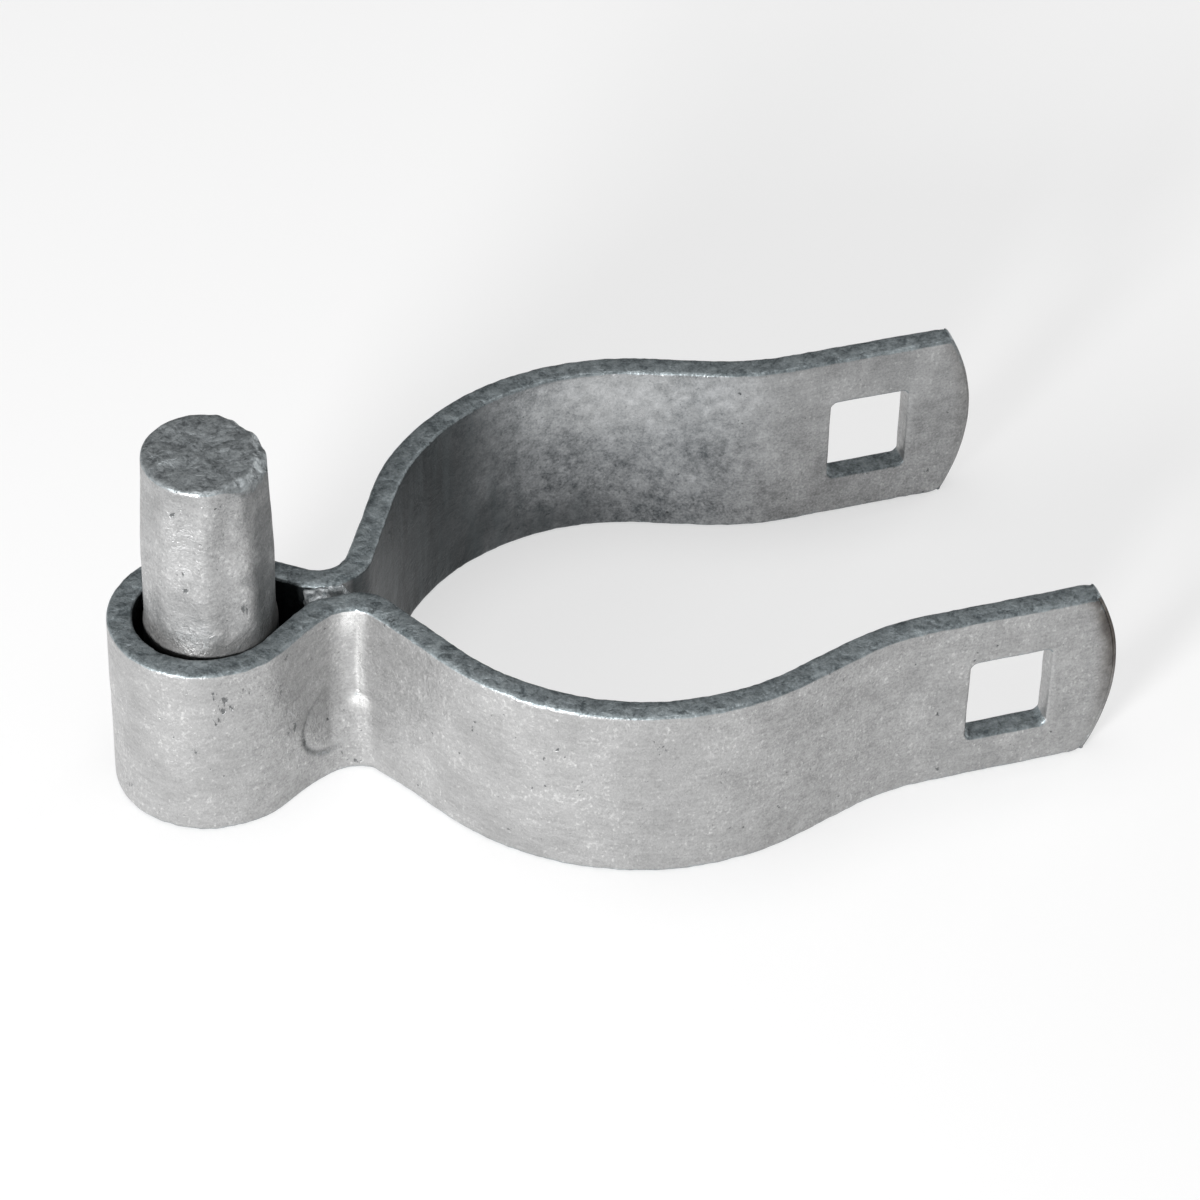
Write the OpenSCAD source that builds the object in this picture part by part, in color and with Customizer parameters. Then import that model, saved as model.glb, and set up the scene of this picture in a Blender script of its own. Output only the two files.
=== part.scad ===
// Chain link gate hinge, the post half: one steel strap folded round an upright pin, pinched into a
// neck, opened again to wrap a round post, and ended in two ears with holes for a carriage bolt.
// Millimetres. +Z runs up the pin and +X runs from the pin towards the ears. The origin is on the
// axis of the post, at the middle of the strap's height.

/* [Strap] */
// Height of the folded strap, measured along the pin
strap_width = 25.4; // [20:0.1:36]
// Thickness of the strap
strap_thickness = 3.2; // [2.4:0.1:4.2]
// Slope worn on each long edge of the strap by the shears and the zinc
edge_ease = 0.4; // [0.2:0.05:0.7]
// Metal that each bend gains on both faces when the strap is folded
bend_gain = 0.02; // [0.02:0.01:0.06]

/* [Post clamp] */
// Radius of the post that the two halves wrap
post_radius = 30.16; // [24:0.01:38]
// Angle at which each half leaves the post for its ear
leave_angle = 19; // [12:0.5:30]

/* [Neck] */
// Length of the flat run between the eye and the neck bend
eye_flat = 7.6; // [3:0.1:12]
// Radius inside each neck bend, on the face that looks away from the other half
neck_bend = 3.6; // [2.8:0.1:7]
// Gap between the two halves at the tightest place of the neck
neck_gap = 0.8; // [0.4:0.1:1.6]
// Length of the flat run between the neck bend and the post clamp
neck_flat = 11.8; // [8:0.1:20]
// Length along X of the zinc and weld metal that fills the neck
fill_length = 5.2; // [3:0.1:6.5]

/* [Weld mark] */
// Height of the middle of the pressed mark above the lower edge
mark_height = 7.8; // [6:0.1:9.5]
// Height of the pressed mark along the pin
mark_size = 7.6; // [5:0.1:9]
// Depth of the pressed mark
mark_depth = 0.35; // [0.15:0.05:0.6]
// Turn of the mark from the bottom of the neck bend towards the eye
mark_turn = 24; // [10:1:35]

/* [Ears] */
// Length of the flat run between the post clamp and the ear bend
ear_run = 8.8; // [4:0.1:14]
// Radius inside each ear bend
ear_bend = 28.8; // [18:0.1:38]
// Length of each flat ear, from its bend to its tip
ear_length = 24.4; // [23:0.1:36]
// Radius of the crowned tip of each ear
tip_radius = 27; // [21:0.5:40]

/* [Bolt holes] */
// Width of each hole along X
hole_width = 10.3; // [8:0.1:12]
// Height of each hole along Z
hole_height = 12.1; // [8:0.1:14]
// Corner radius of each hole
hole_corner = 0.8; // [0.3:0.1:1.5]
// Distance from the middle of each hole to the tip of its ear
hole_to_tip = 14; // [12:0.1:16]
// Distance of each hole's middle below mid height
hole_drop = 0.5; // [0:0.1:1.5]

/* [Pin] */
// Radius of the pin where the gate's own hinge turns on it
pin_radius = 7.94; // [6:0.01:10]
// Height of the pin above the strap
pin_rise = 24.4; // [20:0.1:45]
// Height above the strap where the pin's straight part ends
straight_rise = 10.6; // [6:0.1:16]
// Share of the pin's radius that is left at its top
tip_share = 0.93; // [0.88:0.005:0.98]
// Slope on the top and bottom rims of the pin
rim_slope = 0.6; // [0.3:0.1:1.2]
// Zinc and upset metal on the pin's radius inside the eye
foot_swell = 0.16; // [0.16:0.01:0.3]

/* [Eye] */
// Room between the pin's foot and the curved wall of the eye
eye_room = 0.1; // [0.06:0.02:0.6]
// Flat length on each side of the eye, which makes it longer than it is wide
eye_side = 0.9; // [0.4:0.1:3]
// Room left where the pin's foot beds against the two flat runs
bed_room = 0.02; // [0.01:0.01:0.06]

/* [Hidden] */
$fn = 96;
half_thickness = strap_thickness / 2;
half_width = strap_width / 2;
foot_radius = pin_radius + foot_swell;
eye_radius = foot_radius + eye_room + half_thickness;
neck_radius = neck_bend + half_thickness;
clamp_radius = post_radius + half_thickness;
bend_radius = ear_bend + half_thickness;
// the middle of each neck bend lies this far off the mid plane
neck_off = neck_gap / 2 + half_thickness + neck_radius;
// eye centre to neck bend centre, from the flat run that is tangent to both
eye_reach = sqrt(pow(eye_radius + neck_radius, 2) + pow(eye_flat, 2));
eye_dx = sqrt(pow(eye_reach, 2) - pow(neck_off, 2));
eye_turn = asin((eye_radius + neck_radius) / eye_reach) - atan2(neck_off, eye_dx);
// neck bend centre to post axis, from the flat run that is tangent to both
neck_reach = sqrt(pow(clamp_radius + neck_radius, 2) + pow(neck_flat, 2));
neck_dx = sqrt(pow(neck_reach, 2) - pow(neck_off, 2));
neck_turn = asin((clamp_radius + neck_radius) / neck_reach) - atan2(neck_off, neck_dx);
neck_x = -neck_dx;
eye_x = neck_x - eye_dx;
pin_x = eye_x + (eye_room - bed_room) / sin(eye_turn);
// the flat of each ear, off the mid plane
ear_off = clamp_radius * cos(leave_angle) - ear_run * sin(leave_angle) - bend_radius * (1 - cos(leave_angle));
bend_x = clamp_radius * sin(leave_angle) + ear_run * cos(leave_angle) + bend_radius * sin(leave_angle);
tip_x = bend_x + ear_length;
hole_x = tip_x - hole_to_tip;
pin_top = half_width + pin_rise;
// the foot's swell runs out over one edge slope either side of the strap's top edge
foot_top = half_width - edge_ease;
wall_bottom = half_width + edge_ease;
wall_top = half_width + straight_rise;
top_radius = pin_radius * tip_share;
// the pressed mark is cut by a drum whose axis is moved towards the mark
mark_shift_share = 0.22;
mark_shift = neck_bend * mark_shift_share;
mark_radius = neck_bend - mark_shift + mark_depth;
mark_flat_share = 0.3;
// the slope on the tip's rim, taken where the ear's own faces lie inside the disc's
tip_ease = edge_ease + bend_gain;
// each flat run reaches this far into the bends at its ends
lap = 0.3;
// cutters run this many strap thicknesses past the faces that they cut
past_share = 1;
past = strap_thickness * past_share;
// how far the neck fill reaches into each half
fill_bite_share = 0.25;
fill_half = neck_gap / 2 + strap_thickness * fill_bite_share;

// The strap's section, with its long edges eased; x runs through the thickness
module section(middle, depth) {
  polygon([
    [middle - depth + edge_ease, -half_width],
    [middle + depth - edge_ease, -half_width],
    [middle + depth, edge_ease - half_width],
    [middle + depth, half_width - edge_ease],
    [middle + depth - edge_ease, half_width],
    [middle - depth + edge_ease, half_width],
    [middle - depth, half_width - edge_ease],
    [middle - depth, edge_ease - half_width]
  ]);
}

// A bent length of strap, from one direction round to another, both seen from the bend's own centre
module bent(centre, radius, from, to) {
  translate([centre[0], centre[1], 0])
    rotate([0, 0, from])
      rotate_extrude(angle = to - from)
        section(radius, half_thickness);
}

// A flat length of strap that starts at a point and runs at a heading, and reaches into the bends
module flat(start, heading, length) {
  translate([start[0], start[1], 0])
    rotate([90, 0, 90 + heading])
      translate([0, 0, -lap])
        linear_extrude(height = length + 2 * lap)
          section(0, half_thickness - bend_gain);
}

// One half of the strap, on the -Y side, from the side of the eye to the tip of the ear
module half_strap() {
  flat([eye_x - eye_side, -eye_radius], 0, eye_side);
  bent([eye_x, 0], eye_radius, 270, 270 + eye_turn);
  flat(
    [eye_x + eye_radius * sin(eye_turn), -eye_radius * cos(eye_turn)],
    eye_turn,
    eye_flat
  );
  bent([neck_x, -neck_off], neck_radius, 90 - neck_turn, 90 + eye_turn);
  flat(
    [neck_x + neck_radius * sin(neck_turn), neck_radius * cos(neck_turn) - neck_off],
    -neck_turn,
    neck_flat
  );
  bent([0, 0], clamp_radius, 270 - neck_turn, 270 + leave_angle);
  flat(
    [clamp_radius * sin(leave_angle), -clamp_radius * cos(leave_angle)],
    leave_angle,
    ear_run
  );
  bent([bend_x, -ear_off - bend_radius], bend_radius, 90, 90 + leave_angle);
  ear();
}

// One flat ear: its long edges are the strap's own and its tip is crowned and eased
module ear() {
  difference() {
    intersection() {
      flat([bend_x, -ear_off], 0, ear_length);
      tip_disc();
    }
    translate([hole_x, -ear_off, -hole_drop])
      bolt_hole();
  }
}

// The disc that rounds an ear's tip, with the same eased rim as the strap
module tip_disc() {
  translate([tip_x - tip_radius, -ear_off, 0])
    rotate([90, 0, 0])
      rotate_extrude()
        polygon([
          [0, -half_thickness],
          [tip_radius - tip_ease, -half_thickness],
          [tip_radius, tip_ease - half_thickness],
          [tip_radius, half_thickness - tip_ease],
          [tip_radius - tip_ease, half_thickness],
          [0, half_thickness]
        ]);
}

// A punched hole with small corner radii, for a carriage bolt's square neck
module bolt_hole() {
  rotate([90, 0, 0])
    linear_extrude(height = strap_thickness + 2 * past, center = true)
      union() {
        square([hole_width - 2 * hole_corner, hole_height], center = true);
        square([hole_width, hole_height - 2 * hole_corner], center = true);
        for (sx = [-1, 1])
          for (sz = [-1, 1])
            translate([sx * (hole_width / 2 - hole_corner), sz * (hole_height / 2 - hole_corner)])
              circle(r = hole_corner);
      }
}

// The pressed mark of the spot weld, a shallow drum-shaped dish in the neck bend
module weld_mark() {
  translate([
    neck_x - mark_shift * sin(mark_turn),
    mark_shift * cos(mark_turn) - neck_off,
    mark_height - half_width - mark_size / 2
  ])
    rotate_extrude()
      polygon([
        [0, 0],
        [mark_radius - mark_depth, 0],
        [mark_radius, mark_size * mark_flat_share],
        [mark_radius, mark_size * (1 - mark_flat_share)],
        [mark_radius - mark_depth, mark_size],
        [0, mark_size]
      ]);
}

// Zinc and weld metal between the two halves at the neck
module neck_fill() {
  translate([neck_x - fill_length / 2, -fill_half, edge_ease - half_width])
    cube([fill_length, 2 * fill_half, strap_width - 2 * edge_ease]);
}

module hinge_band() {
  color("#a9adb0")
    difference() {
      union() {
        bent([eye_x - eye_side, 0], eye_radius, 90, 270);
        half_strap();
        mirror([0, 1, 0])
          half_strap();
        neck_fill();
      }
      weld_mark();
      mirror([0, 1, 0])
        weld_mark();
    }
}

// The pin: a foot inside the eye, a straight part for the gate's hinge and a tapered top
module pintle_pin() {
  color("#9a9ea1")
    translate([pin_x, 0, 0])
      rotate_extrude()
        polygon([
          [0, -half_width],
          [foot_radius - rim_slope, -half_width],
          [foot_radius, rim_slope - half_width],
          [foot_radius, foot_top],
          [pin_radius, wall_bottom],
          [pin_radius, wall_top],
          [top_radius, pin_top - rim_slope],
          [top_radius - rim_slope, pin_top],
          [0, pin_top]
        ]);
}

hinge_band();
pintle_pin();
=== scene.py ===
import math
import bmesh
import bpy
from mathutils import Matrix, Vector, noise


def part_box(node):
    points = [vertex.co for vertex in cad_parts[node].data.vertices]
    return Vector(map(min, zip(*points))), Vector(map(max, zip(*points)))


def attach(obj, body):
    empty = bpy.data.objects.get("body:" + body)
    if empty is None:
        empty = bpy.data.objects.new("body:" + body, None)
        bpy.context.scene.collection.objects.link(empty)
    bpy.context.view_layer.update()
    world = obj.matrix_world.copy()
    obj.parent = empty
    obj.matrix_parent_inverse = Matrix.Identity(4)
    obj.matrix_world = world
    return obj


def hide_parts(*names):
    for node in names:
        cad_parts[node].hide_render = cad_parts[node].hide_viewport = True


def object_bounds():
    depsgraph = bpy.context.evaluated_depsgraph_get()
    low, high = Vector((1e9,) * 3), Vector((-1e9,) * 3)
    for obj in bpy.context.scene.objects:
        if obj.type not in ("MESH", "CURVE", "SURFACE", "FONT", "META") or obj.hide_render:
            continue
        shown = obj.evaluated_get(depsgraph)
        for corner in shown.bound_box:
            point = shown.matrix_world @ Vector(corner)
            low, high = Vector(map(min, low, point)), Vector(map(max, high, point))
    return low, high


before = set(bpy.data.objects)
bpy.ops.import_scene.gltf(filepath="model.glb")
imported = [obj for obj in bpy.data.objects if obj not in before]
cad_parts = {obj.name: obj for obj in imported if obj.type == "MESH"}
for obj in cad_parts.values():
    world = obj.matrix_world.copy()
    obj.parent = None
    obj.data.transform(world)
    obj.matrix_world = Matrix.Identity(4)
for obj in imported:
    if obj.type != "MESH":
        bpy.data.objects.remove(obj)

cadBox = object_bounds()  # the box of the solids, before anything is dressed
mm = 0.001
maskNames = ("innerSide", "stain", "bareTip", "cutEnd", "scuff", "burnished")


# Small helpers for pieces

def deselectAll():
    if bpy.context.object and bpy.context.object.mode != "OBJECT":
        bpy.ops.object.mode_set(mode="OBJECT")
    bpy.ops.object.select_all(action="DESELECT")


def activate(piece):
    deselectAll()
    bpy.context.view_layer.objects.active = piece
    piece.select_set(True)


def beginEdit(piece):
    activate(piece)
    bpy.ops.object.mode_set(mode="EDIT")
    bpy.ops.mesh.select_all(action="SELECT")


def endEdit():
    bpy.ops.object.mode_set(mode="OBJECT")


def faceOutwards():
    bpy.ops.mesh.select_all(action="SELECT")
    bpy.ops.mesh.normals_make_consistent(inside=False)


def pickFaces(piece, wanted):
    bpy.ops.mesh.select_mode(type="FACE")
    bpy.ops.mesh.select_all(action="DESELECT")
    shape = bmesh.from_edit_mesh(piece.data)
    for face in shape.faces:
        face.select_set(wanted(face.calc_center_median(), face.normal))
    bmesh.update_edit_mesh(piece.data)


def pickEdges(piece, wanted):
    bpy.ops.mesh.select_mode(type="EDGE")
    bpy.ops.mesh.select_all(action="DESELECT")
    shape = bmesh.from_edit_mesh(piece.data)
    for edge in shape.edges:
        edge.select_set(wanted(edge.verts[0].co, edge.verts[1].co, edge.is_boundary))
    bmesh.update_edit_mesh(piece.data)


def applyModifier(piece, kind, **settings):
    modifier = piece.modifiers.new(kind.title(), kind)
    for name, value in settings.items():
        setattr(modifier, name, value)
    activate(piece)
    bpy.ops.object.modifier_apply(modifier=modifier.name)


def applyPlace():
    bpy.ops.object.transform_apply(location=True, rotation=True, scale=True)


def smoothStep(low, high, value):
    t = min(max((value - low) / (high - low), 0.0), 1.0)
    return t * t * (3 - 2 * t)


def fade(ends, value):
    # 0 at the first end and 1 at the second, with the ends in millimetres
    return smoothStep(ends[0] * mm, ends[1] * mm, value)


def bell(value, reach):
    return math.exp(-(value / reach) ** 2)


def movePoints(piece, places):
    piece.data.vertices.foreach_set("co", [value for place in places for value in place])
    piece.data.update()


def keepInside(piece, box):
    # a worn surface never stands outside the solid's own box
    low, high = box
    movePoints(piece, [[min(max(vertex.co[i], low[i]), high[i]) for i in range(3)]
                       for vertex in piece.data.vertices])


def writeMasks(piece, masks):
    for name, values in masks.items():
        mask = piece.data.attributes.new(name, "FLOAT", "POINT")
        mask.data.foreach_set("value", [min(max(value, 0.0), 1.0) for value in values])


def lumps(place, size, seed=0.0):
    # soft noise from -1 to 1 whose lumps are about this many millimetres across
    return noise.noise(place / (size * mm) + Vector((seed, 1.7 * seed, -seed)))


# Materials

def linearColour(code):
    # an sRGB hex colour, such as 9aa0a3, as the linear values that shaders take
    parts = [int(code[i:i + 2], 16) / 255 for i in (0, 2, 4)]
    return [p / 12.92 if p <= 0.04045 else ((p + 0.055) / 1.055) ** 2.4 for p in parts] + [1.0]


def addNode(tree, kind, settings=None, links=None, out=0):
    # settings are the node's own properties, its sockets' values or a ramp's stops; links join
    # sockets by name or number, and what comes back is the output that the next node takes
    node = tree.nodes.new("ShaderNode" + kind)
    for name, value in (settings or {}).items():
        if name == "stops":
            marks = node.color_ramp.elements
            while len(marks) < len(value):
                marks.new(0.5)
            for mark, (place, tone) in zip(marks, value):
                mark.position = place
                mark.color = linearColour(tone) if isinstance(tone, str) else (tone, tone, tone, 1)
        elif isinstance(name, str) and hasattr(node, name):
            setattr(node, name, value)
        else:
            node.inputs[name].default_value = value
    for name, source in (links or {}).items():
        tree.links.new(source, node.inputs[name])
    return node.outputs[out] if len(node.outputs) else None


def newMaterial(name):
    material = bpy.data.materials.new(name)
    material.use_nodes = True
    material.node_tree.nodes.clear()
    return material, material.node_tree


zincLook = {
    "dull": "868686",         # weathered film between the bright patches
    "bright": "b1b1b1",       # smooth zinc, where it froze thick
    "fleck": "d8d8d7",        # small crystals that catch the light
    "burnished": "eeeeed",    # painted highlight on the neck's crest, the knock and inside the back half
    "innerDull": "53585b",
    "innerBright": "b9bbbd",  # blotches of thick zinc on the inner side
    "tornDark": "4b5356",     # sheared edges, thin rough zinc over torn steel
    "torn": "9aa2a5",
    "cutDark": "575b5d",      # sawn end of the bar
    "cutBright": "a8adaf",
    "stainAndShadeDark": "2a2e30",    # ash and flux that the bath left in the throat, together with painted shade there, in the weld mark's rim, along the lower inner edge, and on the pin's foot and right side
    "stain": "4a5052",
    "pit": "3c4143",
    "bareDark": "352d27",     # brownish steel at the tips, where the zinc ran thin
    "bare": "66615b",
    "metal": 0.72,            # the rest is the dull film's own soft scatter
    "rough": 0.35,
    "apart": (0.3, 0.17, 0),  # metres between one pattern's origin and the next one's
    "patterns": {             # millimetres across, detail, roughness, stretch, distortion
        "cloud": (7.0, 4.0, 0.6, (1, 1, 1)),
        "mottle": (1.7, 4.0, 0.65, (1, 1, 1)),
        "blotch": (1.5, 5.0, 0.7, (1, 1, 1)),
        "swirl": (3.4, 4.0, 0.6, (1, 1, 1), 1.3),
        "crinkle": (1.2, 4.0, 0.6, (1, 1, 0.8), 0.8),
        "grain": (0.32, 2.0, 0.6, (1, 1, 1)),
        "drawn": (0.5, 3.0, 0.6, (0.2, 0.2, 1)),
        "glint": (0.4, 2.0, 0.5, (1, 1, 0.7)),
        "streak": (1.7, 3.0, 0.6, (1, 1, 0.12)),
        "speck": (1.1, 2.0, 0.5, (1, 1, 1)),
        "stroke": (0.75, 3.0, 0.6, (1.6, 1.6, 0.8)),
    },
}

pinLook = {
    "dull": "7a7a7a",         # the hot-rolled bar takes a thinner, duller coat than the strip
    "bright": "adadad",
}


def hotDipZinc(name, look):
    # Hot-dip galvanised steel: zinc that froze on pickled hot-rolled strip, then dulled in the air.
    # It gives the eye a silver grey with cloudy patches, a crinkled skin that glints, ash specks,
    # and darker, rougher sheared edges.
    # Its darkest layer carries ash and flux together with painted shade, and its brightest layer carries
    # painted highlights.
    material, tree = newMaterial(name)
    place = addNode(tree, "TexCoord", out="Object")
    up = addNode(tree, "SeparateXYZ", None, {"Vector": addNode(tree, "TexCoord", out="Normal")}, "Z")
    made = {"upright": addNode(tree, "Math", {"operation": "ABSOLUTE"}, {0: up})}
    for count, (called, pattern) in enumerate(look["patterns"].items()):
        size, detail, rough, stretch, *distort = pattern
        moved = addNode(tree, "Mapping", {"Location": [count * away for away in look["apart"]],
                                          "Scale": stretch}, {"Vector": place})
        made[called] = addNode(tree, "TexNoise", {
            "Scale": 1 / (size * mm), "Detail": detail, "Roughness": rough,
            "Distortion": sum(distort)}, {"Vector": moved})
    for called in maskNames:
        made[called] = addNode(tree, "Attribute", {"attribute_name": called}, out="Fac")
    made["lumpy"] = addNode(tree, "Math", {"operation": "MULTIPLY"},
                            {0: made["blotch"], 1: made["innerSide"]})
    # each row: its name, a start, the shares of what is made already that are added to it, and
    # stops of a ramp from grey levels or colours
    rows = (
        ("faces", 0.0, {"cloud": 0.2, "mottle": 0.28, "grain": 0.37, "drawn": 0.15}, None),
        ("faceTone", 0.0, {"faces": 1.0}, ((0.40, look["dull"]), (0.595, look["bright"]))),
        ("innerTone", 0.0, {"blotch": 0.45, "cloud": 0.3, "grain": 0.25},
         ((0.37, look["innerDull"]), (0.62, look["innerBright"]))),
        # ash and flux, together with painted shade
        ("stainTone", 0.0, {"streak": 1.0}, ((0.3, look["stainAndShadeDark"]), (0.8, look["stain"]))),
        ("stainShare", -0.13, {"stain": 1.05, "streak": 0.26}, ((0.08, 0.0), (0.9, 1.0))),
        ("bareTone", 0.0, {"mottle": 1.0}, ((0.4, look["bareDark"]), (0.7, look["bare"]))),
        ("tornShare", 0.0, {"upright": 1.0, "mottle": 0.5, "grain": 0.3}, ((0.62, 0.0), (0.8, 1.0))),
        ("tornTone", 0.0, {"mottle": 0.4, "crinkle": 0.3, "grain": 0.3},
         ((0.4, look["tornDark"]), (0.6, look["torn"]))),
        ("cutTone", 0.0, {"mottle": 0.3, "crinkle": 0.4, "grain": 0.3},
         ((0.4, look["cutDark"]), (0.6, look["cutBright"]))),
        ("cutShare", 0.0, {"cutEnd": 0.85}, None),
        ("fleckTone", 0.0, {"grain": 1.0}, ((0.3, look["bright"]), (0.6, look["fleck"]))),
        ("fleckShare", 0.0, {"glint": 0.7, "cloud": 0.3}, ((0.56, 0.0), (0.70, 0.7))),
        # painted highlights
        ("rubbedTone", 0.0, {"mottle": 0.6, "grain": 0.4},
         ((0.38, look["bright"]), (0.55, look["burnished"]))),
        ("scuffed", 0.0, {"scuff": 0.2, "stroke": 1.0}, ((0.69, 0.0), (0.76, 0.7))),
        ("specks", 0.0, {"speck": 1.0}, ((0.735, 0.0), (0.78, 0.8))),
        ("dark", 0.0, {"scuffed": 1.0, "specks": 1.0}, None),
        ("pitTone", 0.0, {"grain": 1.0}, ((0.2, look["stainAndShadeDark"]), (0.7, look["pit"]))),
        ("roughness", look["rough"] + 0.25,
         {"faces": -0.5, "tornShare": 0.14, "stainShare": 0.1, "fleckShare": -0.05, "burnished": -0.08}, None),
        ("metallic", look["metal"] - 0.7, {"grain": 0.8, "mottle": 0.6, "tornShare": -0.12}, None),
        ("height", 0.0,
         {"swirl": 0.17, "crinkle": 0.12, "grain": 0.03, "drawn": 0.012, "lumpy": 0.06, "dark": -0.05}, None),
    )
    for called, start, shares, stops in rows:
        total = start
        for source, share in shares.items():
            settings, links = {"operation": "MULTIPLY_ADD", 1: share}, {0: made[source]}
            (settings if isinstance(total, float) else links)[2] = total
            total = addNode(tree, "Math", settings, links)
        made[called] = addNode(tree, "ValToRGB", {"stops": stops}, {"Fac": total}) if stops else total
    # each layer lies over the ones before it
    layers = (("fleckTone", "fleckShare"), ("innerTone", "innerSide"), ("stainTone", "stainShare"),
              ("rubbedTone", "burnished"), ("bareTone", "bareTip"), ("tornTone", "tornShare"),
              ("cutTone", "cutShare"), ("pitTone", "dark"))
    colour = made["faceTone"]
    for tone, share in layers:
        colour = addNode(tree, "Mix", {"data_type": "RGBA"}, {0: made[share], 6: colour, 7: made[tone]}, 2)
    bumpy = addNode(tree, "Bump", {"Strength": 1.0, "Distance": mm}, {"Height": made["height"]})
    shader = addNode(tree, "BsdfPrincipled", None, {
        "Base Color": colour, "Roughness": made["roughness"], "Metallic": made["metallic"], "Normal": bumpy})
    addNode(tree, "OutputMaterial", None, {"Surface": shader})
    return material


# The strap

strapSizes = {
    "width": 25.4,            # millimetres, as all the sizes here
    "thickness": 3.2,
    "edgeRound": 0.45,
    "postRadius": 30.16,
    "leaveAngle": 19,         # degrees between the post arc's end and the ears
    "eyeInner": 8.2,
    "eyeSide": 0.9,
    "eyeFlat": 7.6,
    "neckBend": 3.6,
    "neckGap": 0.8,
    "neckFlat": 11.8,
    "earRun": 8.8,
    "earBend": 28.8,
    "earLength": 24.4,
    "tipRadius": 27,
    "holeWidth": 10.3,
    "holeHeight": 12.1,
    "holeToTip": 14,
    "holeDrop": 0.5,
    "holeCorner": 0.8,
    "rows": (7, 14, 9),       # below the hole, beside it and above it
    "ring": 1.2,              # length of each step along the post arc and the ears,
    "eyeRing": 0.832,         # round the eye and along the neck's outer flat,
    "fineRing": 0.52,         # along its inner flat,
    "neckRing": 0.468,        # and round its bend
}


def foldPlan(size):
    # centres, turns and places of the folded strap's middle line, in metres and radians
    half = size["thickness"] / 2
    plan = {"half": half * mm, "halfWidth": size["width"] / 2 * mm}
    eye = size["eyeInner"] + half
    neck = size["neckBend"] + half
    clamp = size["postRadius"] + half
    bend = size["earBend"] + half
    neckOff = size["neckGap"] / 2 + half + neck
    eyeReach = math.hypot(eye + neck, size["eyeFlat"])
    eyeDx = math.sqrt(eyeReach ** 2 - neckOff ** 2)
    neckReach = math.hypot(clamp + neck, size["neckFlat"])
    neckDx = math.sqrt(neckReach ** 2 - neckOff ** 2)
    leave = math.radians(size["leaveAngle"])
    earOff = clamp * math.cos(leave) - size["earRun"] * math.sin(leave) - bend * (1 - math.cos(leave))
    bendX = clamp * math.sin(leave) + size["earRun"] * math.cos(leave) + bend * math.sin(leave)
    plan["eyeTurn"] = math.asin((eye + neck) / eyeReach) - math.atan2(neckOff, eyeDx)
    plan["neckTurn"] = math.asin((clamp + neck) / neckReach) - math.atan2(neckOff, neckDx)
    plan["leave"] = leave
    lengths = {"eye": eye, "neck": neck, "clamp": clamp, "bend": bend, "neckOff": neckOff,
               "neckX": -neckDx, "eyeX": -neckDx - eyeDx, "earOff": earOff, "bendX": bendX,
               "tipX": bendX + size["earLength"], "holeX": bendX + size["earLength"] - size["holeToTip"]}
    plan.update({name: value * mm for name, value in lengths.items()})
    return plan


def rowHeights(size):
    # the strap's rows across its width, with two of them on the hole's lower and upper edges
    top = size["width"] / 2
    low = -size["holeDrop"] - size["holeHeight"] / 2
    high = low + size["holeHeight"]
    rows = []
    for start, end, count in zip((-top, low, high), (low, high, top), size["rows"]):
        rows += [(start + (end - start) * i / count) * mm for i in range(count)]
    return rows + [top * mm]


def flatRun(length, heading, step):
    count = max(1, round(length / step))
    move = (math.cos(heading) * length / count, math.sin(heading) * length / count, 0)
    for _ in range(count):
        bpy.ops.mesh.extrude_region_move(TRANSFORM_OT_translate={"value": move})


def bendRun(centre, turn, radius, step):
    count = max(3, round(abs(turn) * radius / step))
    # the operator turns clockwise for a positive angle
    bpy.ops.mesh.spin(steps=count, angle=-turn, center=(centre[0], centre[1], 0), axis=(0, 0, 1))


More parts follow.
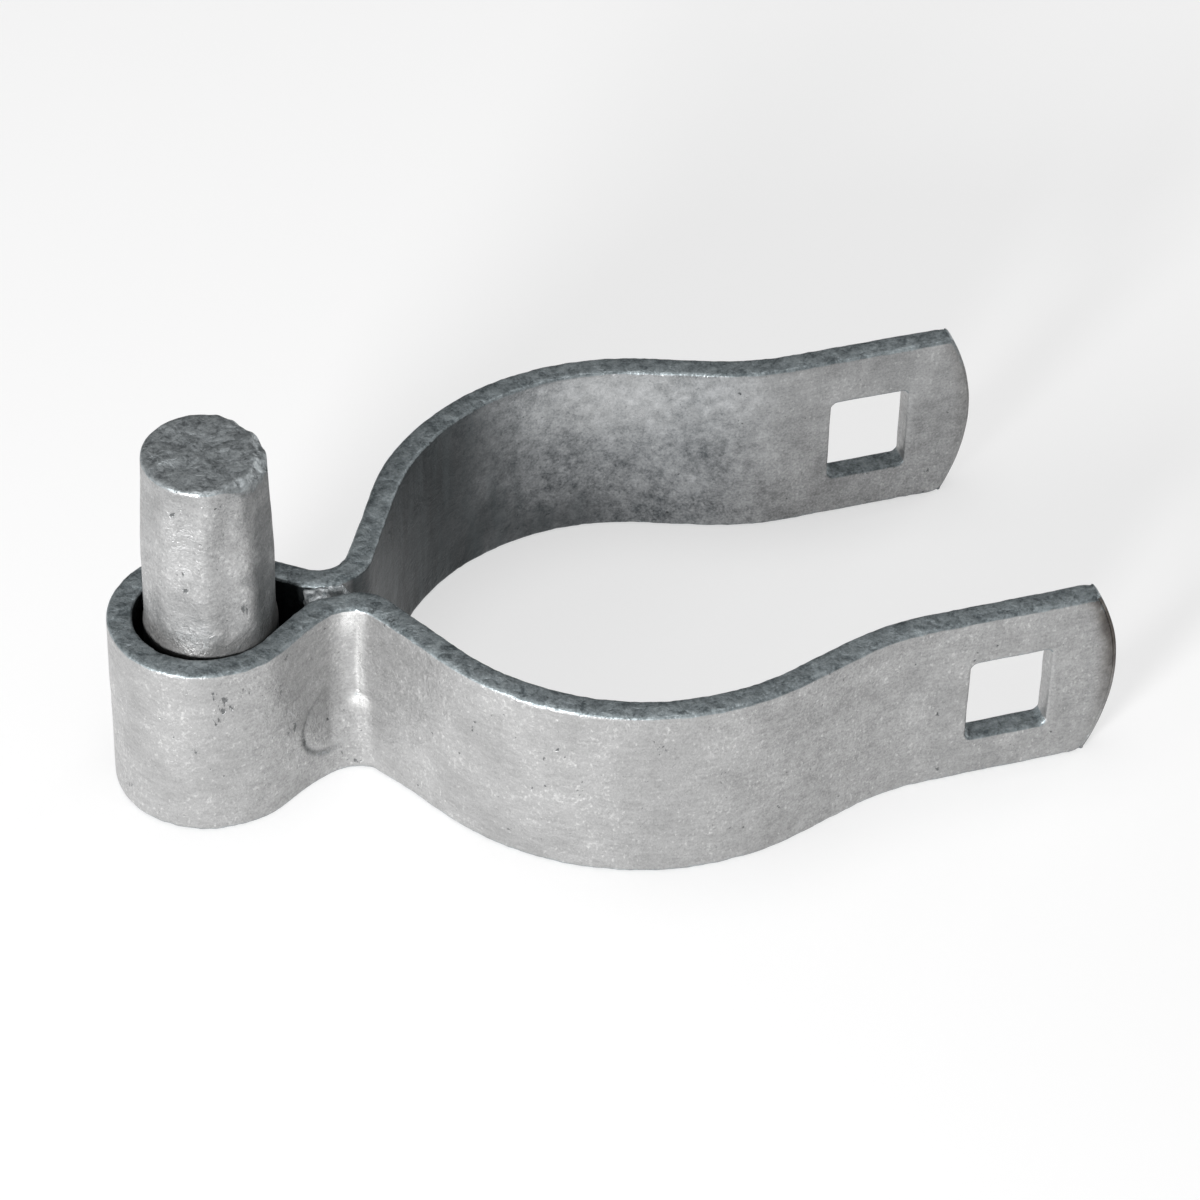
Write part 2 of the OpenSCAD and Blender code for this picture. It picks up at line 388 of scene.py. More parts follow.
def makeStrap(size, plan):
    print("strap: folding one half")
    rows = rowHeights(size)
    step, fine, eyeStep, neckStep = (size[n] * mm for n in ("ring", "fineRing", "eyeRing", "neckRing"))
    left = plan["eyeX"] - size["eyeSide"] * mm
    deselectAll()
    bpy.ops.mesh.primitive_grid_add(x_subdivisions=2, y_subdivisions=len(rows) - 1, size=1,
                                    location=(left - plan["eye"], 0, 0), rotation=(math.radians(90), 0, 0))
    strap = bpy.context.object
    strap.name = "hingeBandStrap"
    strap.scale = (2 * plan["half"], 2 * plan["halfWidth"], 1)
    applyPlace()
    for vertex in strap.data.vertices:
        row = round((vertex.co.z / (2 * plan["halfWidth"]) + 0.5) * (len(rows) - 1))
        vertex.co.z = rows[row]

    beginEdit(strap)
    bendRun((left, 0), math.pi / 2, plan["eye"], eyeStep)
    flatRun(size["eyeSide"] * mm, 0, step)
    bendRun((plan["eyeX"], 0), plan["eyeTurn"], plan["eye"], eyeStep)
    flatRun(size["eyeFlat"] * mm, plan["eyeTurn"], fine)
    bendRun((plan["neckX"], -plan["neckOff"]), -plan["eyeTurn"] - plan["neckTurn"], plan["neck"], neckStep)
    flatRun(size["neckFlat"] * mm, -plan["neckTurn"], eyeStep)
    bendRun((0, 0), plan["neckTurn"] + plan["leave"], plan["clamp"], step)
    flatRun(size["earRun"] * mm, plan["leave"], step)
    bendRun((plan["bendX"], -plan["earOff"] - plan["bend"]), -plan["leave"], plan["bend"], step)
    near = plan["holeX"] - size["holeWidth"] / 2 * mm
    far = near + size["holeWidth"] * mm
    flatRun(near - plan["bendX"], 0, step)
    flatRun(far - near, 0, step)
    flatRun(plan["tipX"] - far, 0, step)

    # crown the tip: past the hole, the rings are drawn back to the tip's arc
    radius = size["tipRadius"] * mm
    shape = bmesh.from_edit_mesh(strap.data)
    for vertex in shape.verts:
        if vertex.co.x > far:
            crown = plan["tipX"] - radius + math.sqrt(radius ** 2 - vertex.co.z ** 2)
            vertex.co.x = far + (vertex.co.x - far) * (crown - far) / (plan["tipX"] - far)
    bmesh.update_edit_mesh(strap.data)

    # punch the hole through both faces, wall it and round its corners
    low = (-size["holeDrop"] - size["holeHeight"] / 2) * mm
    high = low + size["holeHeight"] * mm
    onEdge = 0.01 * mm
    pickFaces(strap, lambda c, n: abs(n.y) > 0.9 and near < c.x < far and low < c.z < high and c.y < 0)
    bpy.ops.mesh.delete(type="FACE")
    pickEdges(strap, lambda a, b, isOpen: isOpen and a.x + b.x > 0)
    bpy.ops.mesh.bridge_edge_loops(number_cuts=1)
    pickEdges(strap, lambda a, b, isOpen: abs(a.y - b.y) > 10 * onEdge
              and min(abs(a.x - near), abs(a.x - far)) < onEdge
              and min(abs(a.z - low), abs(a.z - high)) < onEdge)
    bpy.ops.mesh.bevel(offset=size["holeCorner"] * mm, segments=3, affect="EDGES")
    # open the end on the mirror plane
    pickFaces(strap, lambda c, n: abs(c.y) < 1e-7 and c.x < plan["eyeX"])
    bpy.ops.mesh.delete(type="FACE")
    faceOutwards()
    endEdit()

    print("strap: mirroring, easing the edges, smoothing")
    applyModifier(strap, "MIRROR", use_axis=(False, True, False), use_clip=True, merge_threshold=1e-6)
    beginEdit(strap)
    bpy.ops.mesh.remove_doubles(threshold=2e-6)
    faceOutwards()
    endEdit()
    applyModifier(strap, "BEVEL", width=size["edgeRound"] * mm, segments=2, limit_method="ANGLE",
                  angle_limit=math.radians(50))
    applyModifier(strap, "SUBSURF", levels=1, render_levels=1)
    bpy.ops.object.shade_smooth()
    return strap


# Pin

pinSizes = {
    "radius": 7.94,           # millimetres
    "footRadius": 8.1,
    "shoulder": 0.4,          # half the height over which the foot passes into the bar
    "straight": 10.6,
    "tipShare": 0.93,
    "rim": 0.4,
    "sides": 96,
    "footRings": 23,
    "straightRings": 10,
    "taperRings": 13,
    "topRings": 11,           # across the sawn top, so that it can be left rough
    "topRing": 0.58,
}


def makePin(size, plan):
    print("pin: turning")
    low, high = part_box("pintle_pin")
    centre = ((low.x + high.x) / 2, 0)
    bottom, top, band = low.z / mm, high.z / mm, plan["halfWidth"] / mm
    rim, shoulder, radius, foot = size["rim"], size["shoulder"], size["radius"], size["footRadius"]
    tip = radius * size["tipShare"]
    footEnd, last, end = band - shoulder, top - rim, band + size["straight"]
    rings = [(foot, bottom + rim)]
    for i in range(1, size["footRings"] + 1):
        rings.append((foot, bottom + rim + (footEnd - (bottom + rim)) * i / size["footRings"]))
    for i in range(size["straightRings"] + 1):
        rings.append((radius, band + shoulder + (size["straight"] - shoulder) * i / size["straightRings"]))
    for i in range(1, size["taperRings"] + 1):
        t = i / size["taperRings"]
        rings.append((radius + (tip - radius) * t, end + (last - end) * t))
    rings.append((tip - rim * 0.35, last + rim * 0.7))
    rings.append((tip - rim, top))

    deselectAll()
    bpy.ops.mesh.primitive_circle_add(vertices=size["sides"], radius=(foot - rim) * mm,
                                      fill_type="NGON", location=(centre[0], 0, low.z))
    pin = bpy.context.object
    pin.name = "pintlePinBar"
    applyPlace()
    beginEdit(pin)
    wide, height = foot - rim, bottom
    for nextWide, nextHeight in rings:
        bpy.ops.mesh.extrude_region_move(TRANSFORM_OT_translate={"value": (0, 0, (nextHeight - height) * mm)})
        share = nextWide / wide
        bpy.ops.transform.resize(value=(share, share, 1), center_override=(centre[0], 0, 0))
        wide, height = nextWide, nextHeight
    for _ in range(size["topRings"]):
        bpy.ops.mesh.inset(thickness=size["topRing"] * mm)
    bpy.ops.mesh.poke()
    faceOutwards()
    endEdit()
    applyModifier(pin, "SUBSURF", levels=1, render_levels=1)
    bpy.ops.object.shade_smooth()
    return pin, centre


# Zinc and weld metal in the neck

neckSizes = {
    "left": 3.5,              # millimetres from the neck's middle to its two ends
    "right": 3.6,
    "half": 1.1,              # half its thickness, which reaches into both halves
    "round": 0.3,
    "voxel": 0.2,
    "sink": 0.35,             # how far its top lies under the strap's edge
    "slope": 2.2,             # how far its top falls away towards the front half,
    "slopeAlong": (-1.6, 0),  # along the neck from its middle
    "slopeAcross": (0.2, -0.6),
    "run": 3.5,               # and how far it runs down towards the post
    "runAlong": (1.0, 3.4),
    "foot": 1.6,              # share by which it widens towards its foot,
    "footTop": 5,             # below this height,
    "front": 0.7,             # and towards the front half, which it has to reach
    "crumbs": ((0.3, 0.7, 3), (0.18, 1.8, 5)),    # height, size across and seed of its lumps
    "shrink": 0.1,
}

neckLook = {
    "bright": "b4b8ba",
    "dull": "5f6669",
    "crumb": 0.8,             # millimetres across
}


def spangleZinc(name, look):
    # Zinc that ran into the welded neck and froze in crumbs: brighter and rougher than the strap,
    # so that it sparkles between the two dark edges.
    material, tree = newMaterial(name)
    place = addNode(tree, "TexCoord", out="Object")
    crumbs = addNode(tree, "TexNoise", {"Scale": 1 / (look["crumb"] * mm), "Detail": 4.0, "Roughness": 0.7},
                     {"Vector": place})
    grains = addNode(tree, "TexVoronoi", {"Scale": 2 / (look["crumb"] * mm)}, {"Vector": place}, "Distance")
    tone = addNode(tree, "ValToRGB", {"stops": ((0.36, look["dull"]), (0.58, look["bright"]))}, {"Fac": crumbs})
    rough = addNode(tree, "MapRange", {"To Min": 0.55, "To Max": 0.32}, {"Value": crumbs})
    height = addNode(tree, "Math", {"operation": "MULTIPLY_ADD", 1: -0.12}, {0: grains, 2: crumbs})
    bumpy = addNode(tree, "Bump", {"Strength": 1.0, "Distance": 0.12 * mm}, {"Height": height})
    shader = addNode(tree, "BsdfPrincipled", {"Metallic": 0.7},
                     {"Base Color": tone, "Roughness": rough, "Normal": bumpy})
    addNode(tree, "OutputMaterial", None, {"Surface": shader})
    return material


def makeNeckMetal(size, plan):
    print("neck: filling")
    top = plan["halfWidth"] - size["sink"] * mm
    length = size["left"] + size["right"]
    deselectAll()
    bpy.ops.mesh.primitive_cube_add(
        size=1, location=(plan["neckX"] + (size["right"] - size["left"]) / 2 * mm, 0, 0))
    metal = bpy.context.object
    metal.name = "neckWeldMetal"
    metal.scale = (length * mm, 2 * size["half"] * mm, 2 * top)
    applyPlace()
    beginEdit(metal)
    bpy.ops.mesh.bevel(offset=size["round"] * mm, segments=2, affect="EDGES")
    bpy.ops.mesh.subdivide(number_cuts=5)
    endEdit()
    applyModifier(metal, "REMESH", mode="VOXEL", voxel_size=size["voxel"] * mm)
    places = []
    for vertex in metal.data.vertices:
        place = vertex.co
        along = place.x - plan["neckX"]
        push = sum(height * lumps(place, across, seed) for height, across, seed in size["crumbs"])
        fall = size["slope"] * fade(size["slopeAlong"], along) * fade(size["slopeAcross"], place.y)
        fall += size["run"] * fade(size["runAlong"], along)
        moved = place + vertex.normal * (push - size["shrink"]) * mm
        moved -= Vector((0, 0, fall * mm * (place.z > 0)))
        # it widens at the foot, hugs the back half as that bends away, and reaches the front one
        foot = smoothStep(size["footTop"] * mm, -plan["halfWidth"], place.z)
        moved.y *= 1 + size["foot"] * foot + size["front"] * (place.y < 0)
        bend = plan["neck"] + plan["half"]
        moved.y += bend - math.sqrt(bend ** 2 - max(along, 0) ** 2)
        places.append(moved)
    movePoints(metal, places)
    keepInside(metal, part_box("hinge_band"))
    bpy.ops.object.shade_smooth()
    return metal


# Wear that the press, the shears and the zinc bath left

strapWear = {
    # heights, depths and reaches in millimetres, other shares from 0 to 1
    "wave": (0.06, 9, 1),     # broad unevenness of the faces: height, size across and seed
    "dent": (0.04, 2.6, 2),
    "sunk": 0.7,              # share of the waves that lies under the true face
    "ragged": (0.18, 1.6, 4),     # how far the sheared edges wander
    "raggedBand": 0.7,
    "earFrom": 20,            # x past which a surface's side is told by y alone
    "outer": 0.3,             # a surface that faces the post less than this is on the outer side
    "inner": (0.1, 0.5),      # how far it faces the post where the inner side's looks begin and end
    # the round mark that the weld pressed outside each neck bend
    "markReach": (9, 11),     # x from the neck's middle, and y, past which nothing was pressed
    "markHeight": 8.7,        # its middle, above the lower edge
    "markLeft": 6.0,          # how far its left and right rims lie from the neck's middle
    "markRight": 2.1,
    "markTall": 4.7,
    "markDepth": 0.14,
    "markFloor": (0.86, 1.02),    # shares of its radius where the floor ends and the face begins
    "markLean": (0.6, 0.4),   # depth of the floor's middle, and how much deeper the left side is
    "groove": (1.3, 0.95, 0.09),  # its rim: depth, and the rim's place and width on the radius
    "grooveAcross": (0.7, -0.7),  # it is pressed on the left side only,
    "grooveUp": (0.3, -0.8, 0.5),     # and half as deep in its upper part
    # the crease beside it, where the press tool ended
    "crease": 0.16,
    "creaseStep": (-0.45, 0.15),  # from the mark's right rim
    "creaseRun": 2.5,
    "creaseFoot": (0.35, -6, -1),     # share that is left at the foot, and where it grows to full
    "creaseBack": 0.5,
    "knock": (-36.3, -2.4, 0.2, 1.0),     # small knock beside it, which also gets a painted highlight: x, z, height and reach
    "crestHighlights": ((1.0, -1.2, 1.4, (7, 12)), (0.8, -0.2, 0.35, (-2, 1))),  # painted highlights beside the crease: share, place, reach, rise
    # the ears' ends and holes
    "endFrom": 3,             # past the hole's far edge
    "endFacing": 0.3,         # the faces roll over, and the end's own edge doesn't
    "tipRoll": 0.5,           # how far the ends are rolled over
    "rollReach": 1.9,
    "rollCurve": 1.5,
    "rollInner": 0.6,
    "burr": 0.22,             # lip that the punch left beside each hole, on the inner side
    "burrPlace": (1.0, 0.5),  # from the hole's far edge, and its width
    "burrTall": (6.5, 4.5),
    "burrRagged": (0.7, 0.6, 1.5, 6),
    # the neck's fit
    "flare": (1.8, 4.6, 5),   # how much less it is pinched at its foot, over which length, up to where
    "parted": (0.8, 3.4, 2),  # how far the front half stands off at its top, and the same
    # looks
    "innerThin": (0.8, 14, 32),   # share of the inner blotches that fades along x
    "throatTurn": (46, 106),  # degrees round the post from the neck where the dark throat fades
    "throatWander": (9, 9, 11),
    "throatRise": 0.7,        # degrees by which it draws back for each millimetre of height
    "lowShade": (0.75, (-11, -1), (84, 124)),     # painted shade along the lower inner edge: share, heights and degrees
    "stainAndShadeShares": (0.65, 0.9),   # of the front half past the neck, and of the rest
    # painted shade in the weld mark's rim; on the pin, dark film on its broken rim
    "rimStainAndShade": 0.55,
    # darker along the ears: share, and x where it begins and is full
    "earDarkening": (0.15, 12, 34),
    "backHighlight": (0.25, (-1, 8), 6, 11),  # painted highlight inside the back half, towards its top: share, heights, x, reach
    "brown": (3.2, 0.6),      # bare tips: how far from the end they begin and are full
    "brownWander": (0.5, 2, 12),
    "brownRise": (-13, 6),
    "brownShares": (0.9, 0.3),    # front and back ear
    "scuffs": (               # place x, y, z and reach
        (-54.8, -11.4, 8.8, 1.2), (-54.3, -11.4, 7.1, 1.0), (-55.2, -11.3, 5.2, 0.9),
        (-51.8, -11.3, 9.4, 0.5), (-58.0, -10.7, 0.5, 0.6), (-45.5, -8.3, -0.9, 0.9),
        (-44.0, -7.2, -5.4, 0.9), (-65.0, -3.7, -9.0, 0.8), (15.5, -31.2, -11.8, 0.8),
        (22.0, -28.4, -11.9, 0.7), (-34.4, -4.4, 12.5, 1.0), (-33.2, -7.4, 12.6, 1.0),
        (-36.8, -3.9, -11.4, 0.6), (-46.2, -8.9, 11.2, 0.7), (-19.9, -26.8, 4.4, 0.7),
        (-16.2, -29.2, 0.2, 0.7), (-7.4, -32.5, 7.5, 1.0), (46.3, -27.1, -0.8, 0.5),
        (40.6, -27.1, -9.2, 0.6), (30.6, -27.1, -10.5, 0.6), (47.6, 23.9, -8.4, 0.6),
        (-19.7, 22.8, 11.3, 1.6), (-21.9, 20.8, 4.5, 1.4), (20.0, -32.0, -4.0, 0.7)),
}


def scuffAt(place, scuffs):
    worst = 0.0
    for x, y, z, reach in scuffs:
        gap = (place - Vector((x, y, z)) * mm).length / (reach * mm)
        worst = max(worst, 1 - smoothStep(0.4, 1.6, gap))
    return worst


def uneven(place, kind, sunk=0.0):
    # height, size across and seed of a kind of unevenness, and the share by which it is sunk
    height, across, seed = kind
    return height * (lumps(place, across, seed) - sunk)


def pressedNeck(place, plan, wear):
    # push, painted shade in the mark's rim, and painted highlight that the weld's mark, the crease and the
    # knock give one point
    x, y, z = place
    front = y < 0
    markZ = wear["markHeight"] * mm - plan["halfWidth"]
    markX = plan["neckX"] + (wear["markRight"] - wear["markLeft"]) / 2 * mm
    markWide = (wear["markRight"] + wear["markLeft"]) / 2 * mm
    across, up = (x - markX) / markWide, (z - markZ) / (wear["markTall"] * mm)
    far = math.hypot(across, up)
    grooveDepth, groovePlace, grooveWide = wear["groove"]
    upLow, upHigh, upShare = wear["grooveUp"]
    rim = bell(far - groovePlace, grooveWide) * smoothStep(*wear["grooveAcross"], across)
    rim *= (1 - upShare) + upShare * smoothStep(upLow, upHigh, up)
    middle, lean = wear["markLean"]
    floor = (1 - smoothStep(*wear["markFloor"], far)) * (middle - lean * across)
    push = -wear["markDepth"] * (floor + grooveDepth * rim)
    beyond = x - plan["neckX"] - wear["markRight"] * mm
    step = fade(wear["creaseStep"], beyond) * math.exp(-max(beyond, 0) / (wear["creaseRun"] * mm))
    foot, *rise = wear["creaseFoot"]
    push += wear["crease"] * step * (foot + (1 - foot) * fade(rise, z)) * (1.0 if front else wear["creaseBack"])
    shine = 0.0
    if front:
        knockX, knockZ, height, reach = wear["knock"]
        knock = bell(math.hypot(x / mm - knockX, z / mm - knockZ), reach)
        push += height * knock
        shine = max([knock] + [share * bell(beyond - at * mm, wide * mm) * fade(rise, z)
                               for share, at, wide, rise in wear["crestHighlights"]])
    return push, rim, shine


def wearStrap(strap, size, plan, wear):
    print("strap: wearing")
    halfWidth, neckX = plan["halfWidth"], plan["neckX"]
    tipRadius = size["tipRadius"] * mm
    holeFar = plan["holeX"] + size["holeWidth"] / 2 * mm
    places, masks = [], {name: [] for name in maskNames}
    for vertex in strap.data.vertices:
        place, out = vertex.co, vertex.normal
        x, y, z = place
        side = math.copysign(1, y)
        front = y < 0
        # how far the surface here faces the post, or the pin inside the eye
        if x < neckX:
            inward = -(out.x * (x - plan["eyeX"]) + out.y * y) / max(math.hypot(x - plan["eyeX"], y), 1e-6)
        elif x < wear["earFrom"] * mm:
            inward = -(out.x * x + out.y * y) / math.hypot(x, y)
        else:
            inward = -out.y * side
        push = uneven(place, wear["wave"], wear["sunk"]) + uneven(place, wear["dent"])
        edge = smoothStep(halfWidth - wear["raggedBand"] * mm, halfWidth, abs(z))
        push -= abs(uneven(place, wear["ragged"])) * edge

        rim = shine = 0.0
        nearNeck = abs(x - neckX) < wear["markReach"][0] * mm and abs(y) < wear["markReach"][1] * mm
        if nearNeck and inward < wear["outer"] and abs(out.z) < 0.5 and out.y * side > 0:
            pressed, rim, shine = pressedNeck(place, plan, wear)
            push += pressed

        toEnd = plan["tipX"] - tipRadius + math.sqrt(tipRadius ** 2 - z ** 2) - x
        if x < holeFar + wear["endFrom"] * mm:
            toEnd = plan["tipX"]
        elif abs(out.y) > wear["endFacing"]:
            rolled = (1 - fade((0, wear["rollReach"]), toEnd)) ** wear["rollCurve"]
            push -= wear["tipRoll"] * rolled * (1.0 if inward < 0 else wear["rollInner"])
        start, wide = wear["burrPlace"]
        if inward > 0.7 and x > holeFar - wide * mm:
            least, more, across, seed = wear["burrRagged"]
            lip = bell(x - holeFar - start * mm, wide * mm)
            lip *= fade(wear["burrTall"], abs(z + size["holeDrop"] * mm))
            push += wear["burr"] * lip * (least + more * lumps(place, across, seed))

        flare, length, reachUp = wear["flare"]
        spread = flare * bell(x - neckX, length * mm) * smoothStep(reachUp * mm, -halfWidth, z)
        if front:
            parted, length, reachDown = wear["parted"]
            spread += parted * bell(x - neckX, length * mm) * smoothStep(reachDown * mm, halfWidth, z)
        places.append(place + out * push * mm + Vector((0, side * spread * mm, 0)))

        facing = smoothStep(*wear["inner"], inward)
        thin, *along = wear["innerThin"]
        masks["innerSide"].append(facing * (1 - thin * fade(along, x)))
        # dark throat, partly ash and flux and partly painted shade: round the inside of the eye, the neck, and
        # the first part of the post arc
        bearing = math.degrees(math.atan2(abs(y), -x))  # 0 at the neck, 90 at the middle of the arc
        throat = 1.0
        if x > neckX:
            reached = bearing + uneven(place, wear["throatWander"]) + wear["throatRise"] * z / mm
            throat = 1 - smoothStep(*wear["throatTurn"], reached)
        # painted shade along the lower inner edge
        share, heights, turns = wear["lowShade"]
        low = share * (1 - fade(heights, z)) * (1 - smoothStep(*turns, bearing))
        dark = facing * max(throat, low) * wear["stainAndShadeShares"][0 if front and x > neckX else 1]
        share, *along = wear["earDarkening"]
        masks["stain"].append(max(dark, wear["rimStainAndShade"] * rim, share * fade(along, x)))
        # painted highlight inside the back half
        share, heights, middle, reach = wear["backHighlight"]
        spilled = share * fade(heights, z) * bell(x - middle * mm, reach * mm) * (inward > 0.5) * (not front)
        masks["burnished"].append(max(shine, spilled))
        brown = fade(wear["brown"], toEnd + uneven(place, wear["brownWander"]) * mm)
        masks["bareTip"].append(brown * wear["brownShares"][0 if front else 1] * fade(wear["brownRise"], z))
        masks["cutEnd"].append(0)
        masks["scuff"].append(scuffAt(place, wear["scuffs"]))
    movePoints(strap, places)
    keepInside(strap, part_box("hinge_band"))
    writeMasks(strap, masks)


pinWear = {
    # millimetres and shares, as for the strap
    "facets": 9,              # the hammered bar is not quite round
    "firstFacet": -143.0,     # degrees: where one of the facets' edges runs
    "facetDepth": 0.85,       # share of a full flat
    "facetTwist": (0.1, 7, 14),   # radians by which the edges wander
    "facetVary": (0.3, 9, 15),
    "facetAway": (5, 7),      # from the axis: the flats die out on the sawn top,
    "facetRise": (11, 17),    # above the eye
    "facetTop": 3,            # and under the top
    "wave": (0.05, 6, 7),
    "dent": (0.03, 1.8, 8),
    "sunk": 0.7,
    "topBand": (2.4, 0.5),    # below the top: where the broken rim begins and is full
    "rimDrop": (0.12, 1.0),   # how deep the rim is worn all round, and broken away on one side
    "rimWide": (0.3, 1.5),
    "breakTurn": -12.0,       # degrees: which side
    "breakSide": (0.2, 0.85),
    "torn": (0.7, 1.3, 13),
    "sawn": ((0.05, 0.9, 9), (0.2, 3, 10)),   # unevenness of the sawn top
    "sawnFacing": (0.3, 0.7),
    "innerShare": 0.12,
    "shade": (0.4, -22, 0.55, 0.95),  # painted shade on the right side, over a slightly duller film: share, degrees, where it begins and is full
    "shadeWander": (0.3, 3, 16),
    # flux and painted shade where the pin goes down into the eye: share and heights
    "footStainAndShade": (0.9, 12.6, 11.0),
    "rimStainAndShade": 0.55,
    "rimUnder": 0.25,         # it starts this far under the top
    "footBrown": (0.25, 13.2, 1.4),
    "scuffs": ((-58.5, -5.4, 33.2, 0.6), (-54.6, -7.6, 29.3, 0.5), (-50.4, -7.4, 18.4, 0.9),
               (-57.9, -6.4, 24.4, 0.6), (-57.7, -6.6, 22.2, 0.7), (-49.0, -6.6, 27.0, 0.5)),
}


def wearPin(pin, size, centre, wear):
    print("pin: wearing")
    low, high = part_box("pintle_pin")
    tip = size["radius"] * size["tipShare"] * mm
    half = math.pi / wear["facets"]
    bandStart, bandFull = (high.z - below * mm for below in wear["topBand"])
    places, masks = [], {name: [] for name in maskNames}
    for vertex in pin.data.vertices:
        place, out = vertex.co, vertex.normal
        x, y, z = place.x - centre[0], place.y, place.z
        away, turn = math.hypot(x, y), math.atan2(y, x)
        # a flat's middle lies nearer the axis than its edges, which stay on the bar's round
        twisted = turn + uneven(place, wear["facetTwist"]) - math.radians(wear["firstFacet"])
        across = twisted % (2 * half) - half
        flat = wear["facetDepth"] * (1 - math.cos(half)) * (0.5 + 0.5 * math.cos(math.pi * across / half))
        flat *= 1 + uneven(place, wear["facetVary"])
        flat *= fade(wear["facetAway"], away) * fade(wear["facetRise"], z)
        flat *= smoothStep(high.z, high.z - wear["facetTop"] * mm, z)
        push = uneven(place, wear["wave"], wear["sunk"]) + uneven(place, wear["dent"])
        moved = place + out * push * mm - Vector((x, y, 0)) * flat
        drop, cut = 0.0, 0.0
        if z > bandStart:
            side = smoothStep(*wear["breakSide"], math.cos(turn - math.radians(wear["breakTurn"])))
            torn = 1 + uneven(place, wear["torn"])
            worn, broken = wear["rimWide"]
            rim = smoothStep(tip - (worn + broken * side) * torn * mm, tip, away)
            nearTop = smoothStep(bandStart, bandFull, z)
            worn, broken = wear["rimDrop"]
            drop = nearTop * rim * (worn + broken * side) * torn
            cut = smoothStep(*wear["sawnFacing"], out.z) + side * rim * nearTop
            if out.z > 0.5:
                drop += sum(abs(uneven(place, kind)) for kind in wear["sawn"])
        places.append(moved - Vector((0, 0, drop * mm)))
        masks["innerSide"].append(wear["innerShare"])
        masks["burnished"].append(0)
        # painted shade on the right side
        share, facing, *ends = wear["shade"]
        shaded = math.cos(turn - math.radians(facing)) + uneven(place, wear["shadeWander"])
        shaded = share * smoothStep(*ends, shaded)
        # flux and painted shade at the foot
        share, *heights = wear["footStainAndShade"]
        brokenRim = out.z < 0.9 and z < high.z - wear["rimUnder"] * mm
        masks["stain"].append(max(shaded, share * fade(heights, z), wear["rimStainAndShade"] * min(cut, 1) * brokenRim))
        share, middle, reach = wear["footBrown"]
        masks["bareTip"].append(share * bell(z - middle * mm, reach * mm))
        masks["cutEnd"].append(cut)
        masks["scuff"].append(scuffAt(place, wear["scuffs"]))
    movePoints(pin, places)
    keepInside(pin, (low, high))
    writeMasks(pin, masks)


# Floor, light and camera

stageLook = {
    "floorSize": 6,           # metres
    "floorColour": "f6f6f6",
    "floorLift": 0.6,         # share of plain white that camera and reflections see in the floor
    "skyTop": 0.14,           # brightness of the room overhead
    "skyLevel": 0.12,         # and at the horizon and below it
    "lamps": {                # place in metres, size across and power
        "key": ((-0.425, -0.405, 0.13), 0.16, 6.7),   # low, in front and to the left
        "top": ((-0.05, 0.05, 0.8), 0.6, 2.5),        # overhead, for the floor and the upper edges
        "fill": ((0.7, 0.28, 0.2), 0.5, 2.2),         # low and to the right, so that no side is black
    },
}


def makeStage(look):
    print("stage: floor and light")
    deselectAll()
    bpy.ops.mesh.primitive_plane_add(size=look["floorSize"], location=(0, 0, cadBox[0][2]))
    floor = bpy.context.object
    floor.name = "floorPlane"
    applyPlace()
    # matt white paper sweep: soft scatter, with a plain white share for the camera and reflections
    material, tree = newMaterial("whitePaperSweep")
    paper = addNode(tree, "BsdfPrincipled", {"Base Color": linearColour(look["floorColour"]),
                                             "Roughness": 0.9, "Specular IOR Level": 0.1})
    white = addNode(tree, "Emission", {"Strength": 1.0, "Color": (1, 1, 1, 1)})
    seen = addNode(tree, "LightPath", out="Is Camera Ray")
    for kind in ("Is Glossy Ray", "Is Transmission Ray"):
        ray = addNode(tree, "LightPath", out=kind)
        seen = addNode(tree, "Math", {"operation": "MAXIMUM"}, {0: seen, 1: ray})
    share = addNode(tree, "Math", {"operation": "MULTIPLY", 1: look["floorLift"]}, {0: seen})
    both = addNode(tree, "MixShader", None, {0: share, 1: paper, 2: white})
    addNode(tree, "OutputMaterial", None, {"Surface": both})
    floor.data.materials.append(material)

    world = bpy.data.worlds.new("studioRoom")
    bpy.context.scene.world = world
    world.use_nodes = True
    tree = world.node_tree
    tree.nodes.clear()
    up = addNode(tree, "SeparateXYZ", None, {"Vector": addNode(tree, "TexCoord", out="Generated")}, "Z")
    tone = addNode(tree, "ValToRGB", {"stops": ((0.0, look["skyLevel"]), (0.7, look["skyTop"]))}, {"Fac": up})
    back = addNode(tree, "Background", {"Strength": 1.0}, {"Color": tone})
    addNode(tree, "OutputWorld", None, {"Surface": back})
    for name, (place, size, power) in look["lamps"].items():
        addLamp(name + "Softbox", place, size, power)


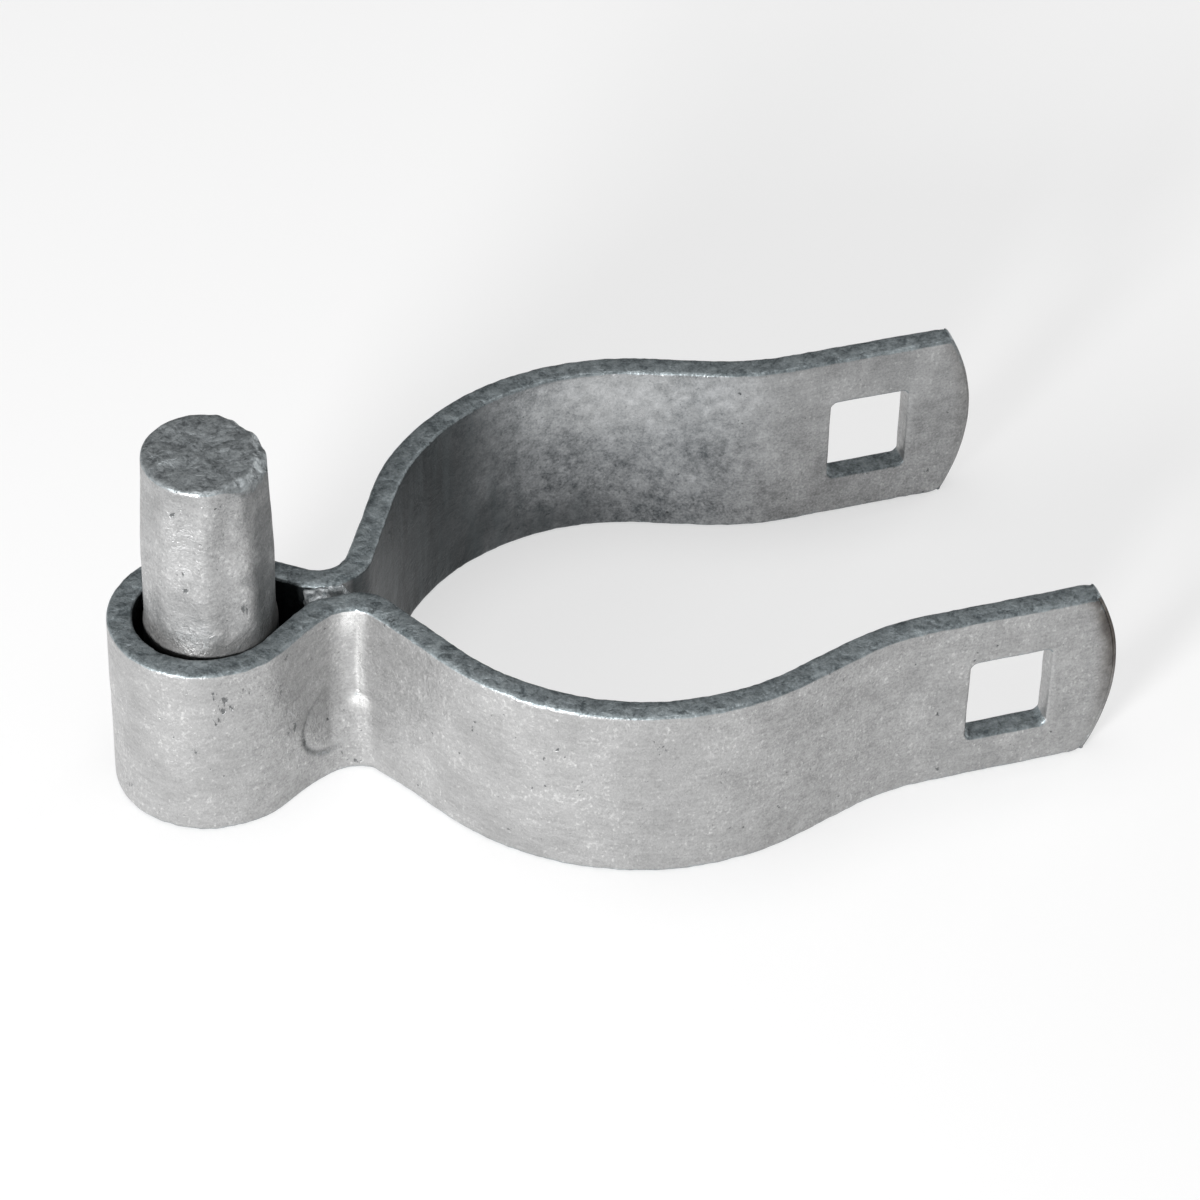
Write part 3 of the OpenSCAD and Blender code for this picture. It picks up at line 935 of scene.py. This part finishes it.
def addLamp(name, place, size, power):
    data = bpy.data.lights.new(name, "AREA")
    data.shape = "DISK"
    data.size = size
    data.energy = power
    lamp = bpy.data.objects.new(name, data)
    bpy.context.scene.collection.objects.link(lamp)
    lamp.location = place
    lamp.rotation_euler = (-Vector(place)).to_track_quat("-Z", "Y").to_euler()


cameraSet = {
    "place": (-140.3, -412.6, 391.6),   # millimetres
    "turn": 18.21,                      # degrees to the right of straight ahead
    "tilt": 41.87,                      # degrees below level
    "roll": 1.55,
    "focal": 142.9,                     # millimetres on a 36 mm sensor
    "sensor": 36,
}


def makeCamera(view):
    data = bpy.data.cameras.new("photoCamera")
    data.lens = view["focal"]
    data.sensor_width = view["sensor"]
    data.clip_start = 0.01
    camera = bpy.data.objects.new("photoCamera", data)
    bpy.context.scene.collection.objects.link(camera)
    turn, tilt, roll = (math.radians(view[n]) for n in ("turn", "tilt", "roll"))
    camera.matrix_world = (Matrix.Translation(Vector(view["place"]) * mm)
                           @ Matrix.Rotation(-turn, 4, "Z")
                           @ Matrix.Rotation(math.pi / 2 - tilt, 4, "X")
                           @ Matrix.Rotation(roll, 4, "Z"))
    bpy.context.scene.camera = camera


plan = foldPlan(strapSizes)
strap = makeStrap(strapSizes, plan)
wearStrap(strap, strapSizes, plan, strapWear)
pin, pinCentre = makePin(pinSizes, plan)
wearPin(pin, pinSizes, pinCentre, pinWear)
neckMetal = makeNeckMetal(neckSizes, plan)
bandZinc = hotDipZinc("hotDipGalvanisedStrap", zincLook)
pinZinc = hotDipZinc("hotDipGalvanisedPin", {**zincLook, **pinLook})
neckZinc = spangleZinc("frozenZincInNeck", neckLook)
for piece, material, slotName in ((strap, bandZinc, "galvanised_strap"),
                                  (neckMetal, neckZinc, "galvanised_strap"),
                                  (pin, pinZinc, "galvanised_pin")):
    piece.data.materials.clear()
    piece.data.materials.append(material)
    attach(piece, "root")
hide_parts("hinge_band")
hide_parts("pintle_pin")
makeStage(stageLook)
makeCamera(cameraSet)
scene = bpy.context.scene
scene.view_settings.view_transform = "Standard"
